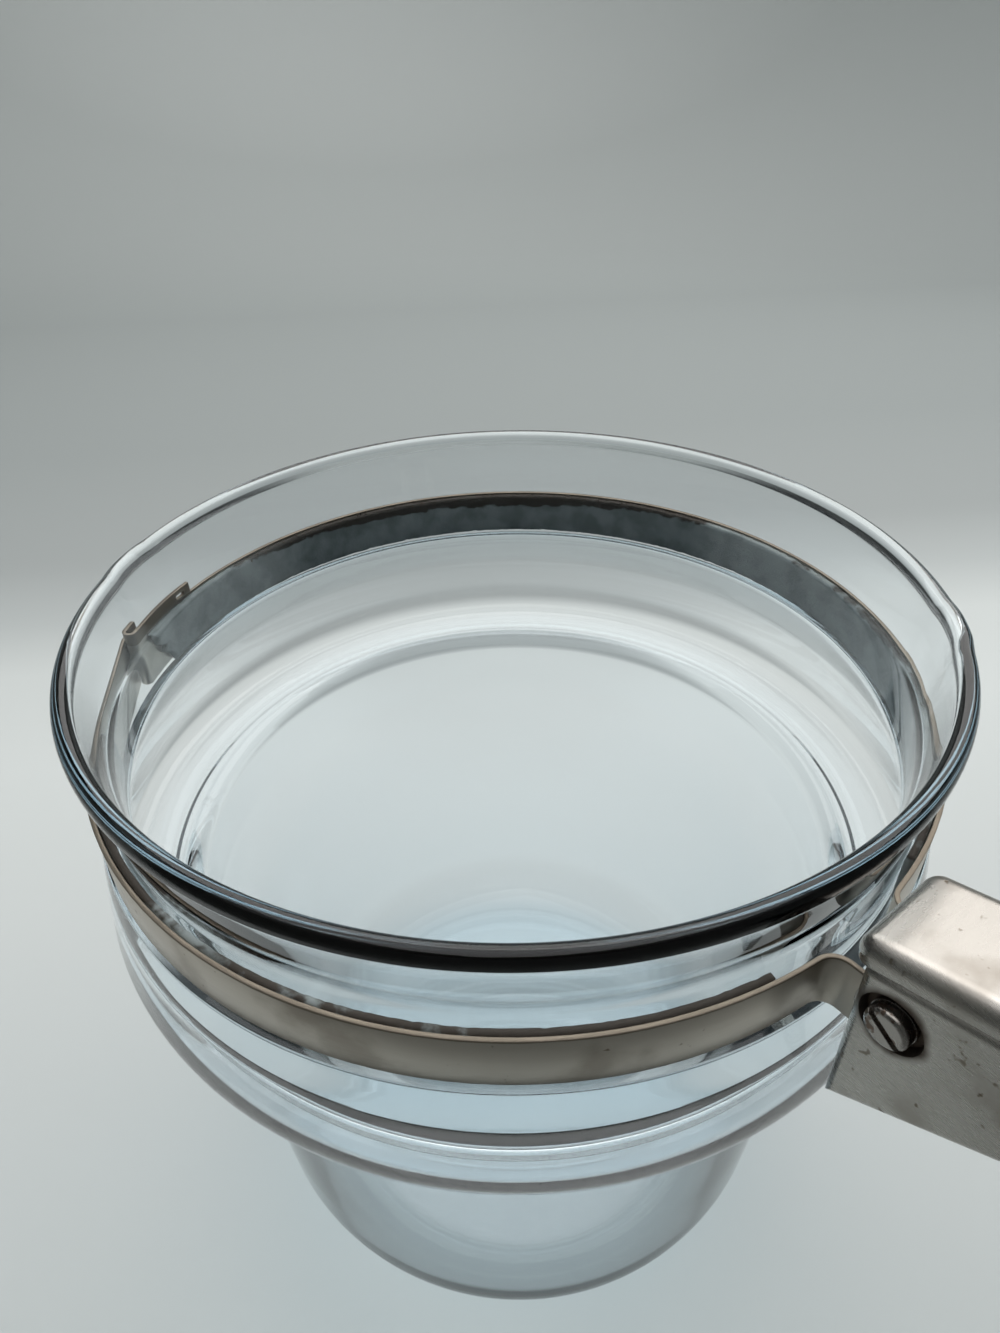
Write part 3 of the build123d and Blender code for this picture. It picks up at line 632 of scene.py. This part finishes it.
# Clamp screw with its nut and washers. Plated steel, worn, with rust in the slot and under the head.
screw_steel = steel_finish(
    "screw_steel_finish", (0.46, 0.43, 0.40), (0.12, 0.06, 0.03), 0.18, (600, 600, 600), 0.20, rust_and_shade=0.25
)
for node in ("clamp_screw", "head_washer", "nut_washer", "clamp_nut"):
    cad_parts[node].material_slots[0].material = screw_steel

# Glass handle. Pressed from the same pale blue glass, with a tongue that the bracket holds, and cushioned
# by a bush round the screw and a pad on each side.
handle_glass = vessel_glass.copy()
handle_glass.name = "handle_glass_finish"
grip_edge_width = 0.0006
softened(
    "glass_handle", "glass_grip", grip_edge_width, "vessel", handle_glass, sharp=40.0,
)

# Handle cushions. Two felted pads between the tongue and the cheeks, and a bush round the screw, of the
# same fibre as the strips.
pad_corner = 0.0015
pad_cuts = 13
bush_wall = 0.001
bush_ease = 0.00012
bush_steps = 64


def node_span(node):
    """Lowest and highest corner of one of the frame's solids."""
    corners = [vertex.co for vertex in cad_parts[node].data.vertices]
    return (Vector([pick(corner[axis] for corner in corners) for axis in range(3)]) for pick in (min, max))


def fibre_piece(node, name, mesh):
    """Closes a fibre piece's mesh and puts it in its solid's place."""
    bmesh.ops.recalc_face_normals(mesh, faces=mesh.faces)
    data = bpy.data.meshes.new(name)
    mesh.to_mesh(data)
    mesh.free()
    data.shade_smooth()
    data.set_sharp_from_angle(angle=math.radians(50))
    data.materials.append(fibre)
    piece = bpy.data.objects.new(name, data)
    scene.collection.objects.link(piece)
    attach(piece, "vessel")
    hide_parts(node)


for node, name in (("front_handle_pad", "front_felt_pad"), ("rear_handle_pad", "rear_felt_pad")):
    low, high = node_span(node)
    half = (high - low) / 2
    pad = bmesh.new()
    bmesh.ops.create_cube(pad, size=2.0)
    bmesh.ops.subdivide_edges(pad, edges=pad.edges, cuts=pad_cuts, use_grid_fill=True)
    for vertex in pad.verts:
        share = vertex.co.copy()
        spot = Vector((share.x * half.x, share.z * half.z))
        inner = Vector((
            max(pad_corner - half.x, min(half.x - pad_corner, spot.x)),
            max(pad_corner - half.z, min(half.z - pad_corner, spot.y)),
        ))
        if (spot - inner).length > pad_corner:
            spot = inner + (spot - inner).normalized() * pad_corner
        rim = max(abs(share.x), abs(share.z))
        worn = abs(noise.noise(share * 5)) * 0.10 + abs(noise.noise(share * 17)) * 0.06
        thick = share.y * half.y * (1 - 0.30 * rim ** 10 - worn)
        squeeze = 1 - 0.012 * abs(noise.noise(share * 9)) - 0.02 * abs(share.y) ** 6
        vertex.co = (low + high) / 2 + Vector((spot.x * squeeze, thick, spot.y * squeeze))
    fibre_piece(node, name, pad)

low, high = node_span("handle_bush")
centre = (low + high) / 2
outer = (high.z - low.z) / 2
inner = outer - bush_wall
bush = bmesh.new()
ring = [
    (inner, low.y + bush_ease), (inner, high.y - bush_ease), (inner + bush_ease, high.y),
    (outer - bush_ease, high.y), (outer, high.y - bush_ease), (outer, low.y + bush_ease),
    (outer - bush_ease, low.y), (inner + bush_ease, low.y),
]
loops = []
for step in range(bush_steps):
    turn = 2 * math.pi * step / bush_steps
    loops.append([
        bush.verts.new((centre.x + radius * math.cos(turn), along, centre.z + radius * math.sin(turn)))
        for radius, along in ring
    ])
for before, after in zip(loops, loops[1:] + loops[:1]):
    for index in range(len(ring)):
        following = (index + 1) % len(ring)
        bush.faces.new((before[index], before[following], after[following], after[index]))
fibre_piece("handle_bush", "felt_bush", bush)

# Lamps and surroundings. A broad soft light high behind the vessel and a little to the handle's side, a
# weaker one above, and a dim surround that is darker on the camera's side and painted near black through the
# glass.


def soft_light(name, position, target, size, power, colour):
    """A rectangular lamp that faces its target."""
    lamp = bpy.data.lights.new(name, "AREA")
    lamp.shape = "RECTANGLE"
    lamp.size, lamp.size_y = size
    lamp.energy = power
    lamp.color = colour
    light = bpy.data.objects.new(name, lamp)
    scene.collection.objects.link(light)
    light.location = position
    light.rotation_euler = (Vector(target) - Vector(position)).to_track_quat("-Z", "Y").to_euler()


soft_light(
    "back_light", away * 0.75 + aside * 0.22 + Vector((0, 0, 0.95)), (0, 0, 0.05), (1.7, 1.0), 10.7,
    (1.0, 0.995, 0.98),
)
soft_light("top_light", Vector((0, 0, 1.2)), (0, 0, 0.0), (1.2, 1.2), 4.5, (0.98, 0.995, 1.0))

world = bpy.data.worlds.new("dim_room")
scene.world = world
world.use_nodes = True
world.node_tree.nodes.clear()
room = Flow(world.node_tree)
aim = room.add("ShaderNodeTexCoord", output="Generated")
bright_side = (away + Vector((0, 0, 0.6))).normalized()
facing = room.add(
    "ShaderNodeVectorMath", {"operation": "DOT_PRODUCT"}, {0: aim, 1: bright_side}, output="Value"
)
glow = facing.ranged(-0.3, 0.6).mixed((0.05, 0.05, 0.05, 1.0), (0.42, 0.435, 0.44, 1.0))
# Painted shade: rays seen through the glass find the surround near black.
through = room.add("ShaderNodeLightPath", output="Is Transmission Ray")
glow = (through * 0.92).mixed(glow, (0.004, 0.006, 0.008, 1.0))
surround = room.add("ShaderNodeBackground", inputs={"Color": glow, "Strength": 1.0})
room_output = world.node_tree.nodes.new("ShaderNodeOutputWorld")
world.node_tree.links.new(surround.socket, room_output.inputs["Surface"])
